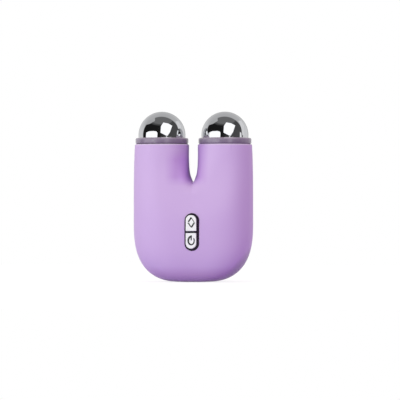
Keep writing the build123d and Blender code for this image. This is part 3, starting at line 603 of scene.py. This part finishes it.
# ---- studio ---------------------------------------------------------------------------------
def make_world():
    """Even light; the camera sees white around the object.

    Reflections see a pale backdrop behind the object and a dark studio in front of it.
    """
    world = bpy.data.worlds.new("studio")
    bpy.context.scene.world = world
    tree = Tree(world, empty=True)

    def background(colour):
        return tree.node("ShaderNodeBackground", {"Color": colour}).outputs[0]

    def ramp(source, stops):
        made = tree.node("ShaderNodeValToRGB", {"Fac": source})
        elements = made.color_ramp.elements
        elements[0].position, elements[0].color = stops[0][0], grey(stops[0][1])
        elements[1].position, elements[1].color = stops[-1][0], grey(stops[-1][1])
        for position, value in stops[1:-1]:
            elements.new(position).color = grey(value)
        return made.outputs["Color"]

    def halved(source):
        """-1..1 to 0..1."""
        inputs = {0: source, 1: 0.5, 2: 0.5}
        return tree.node("ShaderNodeMath", inputs, operation="MULTIPLY_ADD").outputs[0]

    direction = tree.node("ShaderNodeTexCoord").outputs["Generated"]
    axes = tree.axes(direction)
    across, depth, height = [halved(axes[name]) for name in "XYZ"]

    start, end = BACKDROP_EDGE
    in_front = ramp(depth, [(0.0, 1.0), (start, 1.0), (end, 0.0), (1.0, 0.0)])
    behind = ramp(depth, [(0.0, 0.0), (start, 0.0), (end, 1.0), (1.0, 1.0)])
    studio = tree.math("MAXIMUM", ramp(across, STUDIO_TONES), ramp(height, CEILING_TONES))
    backdrop = tree.math("MULTIPLY", ramp(height, BACKDROP_TONES), ramp(depth, BACKDROP_FALL))
    studio = tree.math("MULTIPLY", studio, in_front)
    backdrop = tree.math("MULTIPLY", backdrop, behind)

    mirrored = background(tree.math("ADD", studio, backdrop))
    rays = tree.node("ShaderNodeLightPath").outputs
    lit = tree.blend(rays["Is Glossy Ray"], background(SKY_COLOUR), mirrored)
    shown = tree.blend(rays["Is Camera Ray"], lit, background(WHITE))
    tree.node("ShaderNodeOutputWorld", {"Surface": shown})


def emitting(name, strength):
    material = bpy.data.materials.new(name)
    tree = Tree(material, empty=True)
    glow = tree.node("ShaderNodeEmission", {"Color": WHITE, "Strength": strength})
    tree.node("ShaderNodeOutputMaterial", {"Surface": glow.outputs[0]})
    return material


def mirrored_direction(u, v):
    """Where a ball sends the view at u, v: its own radii to the right and up, seen from the front."""
    w = sqrt(max(0.0, 1 - u * u - v * v))
    turn = radians(CAMERA_AZIMUTH)
    right, ahead, up = 2 * w * u, 1 - 2 * w * w, 2 * w * v
    return Vector((right * cos(turn) - ahead * sin(turn), right * sin(turn) + ahead * cos(turn), up))


def card(name, strength, outline):
    """A studio card that only reflections show, placed where the balls mirror it at its outline."""
    rim = []
    for (u, v), (next_u, next_v) in zip(outline, outline[1:] + outline[:1]):
        for t in range(CARD_STEPS):
            share = t / CARD_STEPS
            rim.append((u + (next_u - u) * share, v + (next_v - v) * share))
    middle = (sum(u for u, _ in rim) / len(rim), sum(v for _, v in rim) / len(rim))
    mesh = bmesh.new()

    def vertex(u, v, share):
        """The card's point at this share of the way from its middle out to u, v."""
        place = (middle[0] + (u - middle[0]) * share, middle[1] + (v - middle[1]) * share)
        return mesh.verts.new(HEADS_MIDDLE + mirrored_direction(*place) * CARD_DISTANCE)

    centre = vertex(*middle, 1.0)
    loops = [[vertex(u, v, ring / CARD_RINGS) for u, v in rim] for ring in range(1, CARD_RINGS + 1)]
    for i in range(len(rim)):
        j = (i + 1) % len(rim)
        mesh.faces.new((centre, loops[0][i], loops[0][j]))
        for inner, outer in zip(loops, loops[1:]):
            mesh.faces.new((inner[i], outer[i], outer[j], inner[j]))
    made = add_mesh(name, mesh, emitting(name + "_glow", strength))
    made.visible_camera = False
    made.visible_diffuse = False
    made.visible_shadow = False
    made.visible_transmission = False


def floor_look():
    """Pale floor: white where the light reaches it, with the object's own soft shadow.

    What it throws back up at the object has a colour of its own.
    """
    material = bpy.data.materials.new("pale_floor")
    tree = Tree(material, empty=True)
    rays = tree.node("ShaderNodeLightPath").outputs
    seen = tree.math("MAXIMUM", rays["Is Camera Ray"], rays["Is Glossy Ray"])
    bounce = tree.node("ShaderNodeBsdfDiffuse", {"Color": FLOOR_BOUNCE}).outputs[0]
    diffuse = tree.node("ShaderNodeBsdfDiffuse", {"Color": grey(FLOOR_ALBEDO)}).outputs[0]
    glow = tree.node("ShaderNodeEmission", {"Strength": FLOOR_GLOW}).outputs[0]
    pale = tree.node("ShaderNodeAddShader", {0: diffuse, 1: glow}).outputs[0]
    tree.node("ShaderNodeOutputMaterial", {"Surface": tree.blend(seen, bounce, pale)})
    return material


def make_floor():
    half = FLOOR_SIZE / 2
    corners = [(-half, -half, 0), (half, -half, 0), (half, half, 0), (-half, half, 0)]
    mesh = bmesh.new()
    mesh.faces.new([mesh.verts.new(corner) for corner in corners])
    floor = add_mesh("floor", mesh, floor_look())


def make_key():
    """The one lamp: a round soft light at the front left, which reflections don't show."""
    data = bpy.data.lights.new("key", "AREA")
    data.shape = "DISK"
    data.size = KEY_SIZE
    data.energy = KEY_ENERGY
    data.color = KEY_COLOUR
    made = add_object("key", data)
    made.location = KEY_PLACE
    made.rotation_euler = (KEY_AIM - KEY_PLACE).to_track_quat("-Z", "Y").to_euler()
    made.visible_camera = False
    made.visible_glossy = False


def make_camera():
    data = bpy.data.cameras.new("camera")
    data.lens = CAMERA_LENS
    data.clip_start = CAMERA_CLIP
    made = add_object("camera", data)
    turn = radians(CAMERA_AZIMUTH)
    made.location = CAMERA_TARGET + Vector((sin(turn), -cos(turn), 0)) * CAMERA_DISTANCE
    made.rotation_euler = (pi / 2, 0, turn)
    bpy.context.scene.camera = made


make_camera()
make_world()
make_floor()
make_key()
for name, (strength, outline) in CARDS.items():
    card(name, strength, outline)

bpy.context.scene.view_settings.view_transform = "Standard"
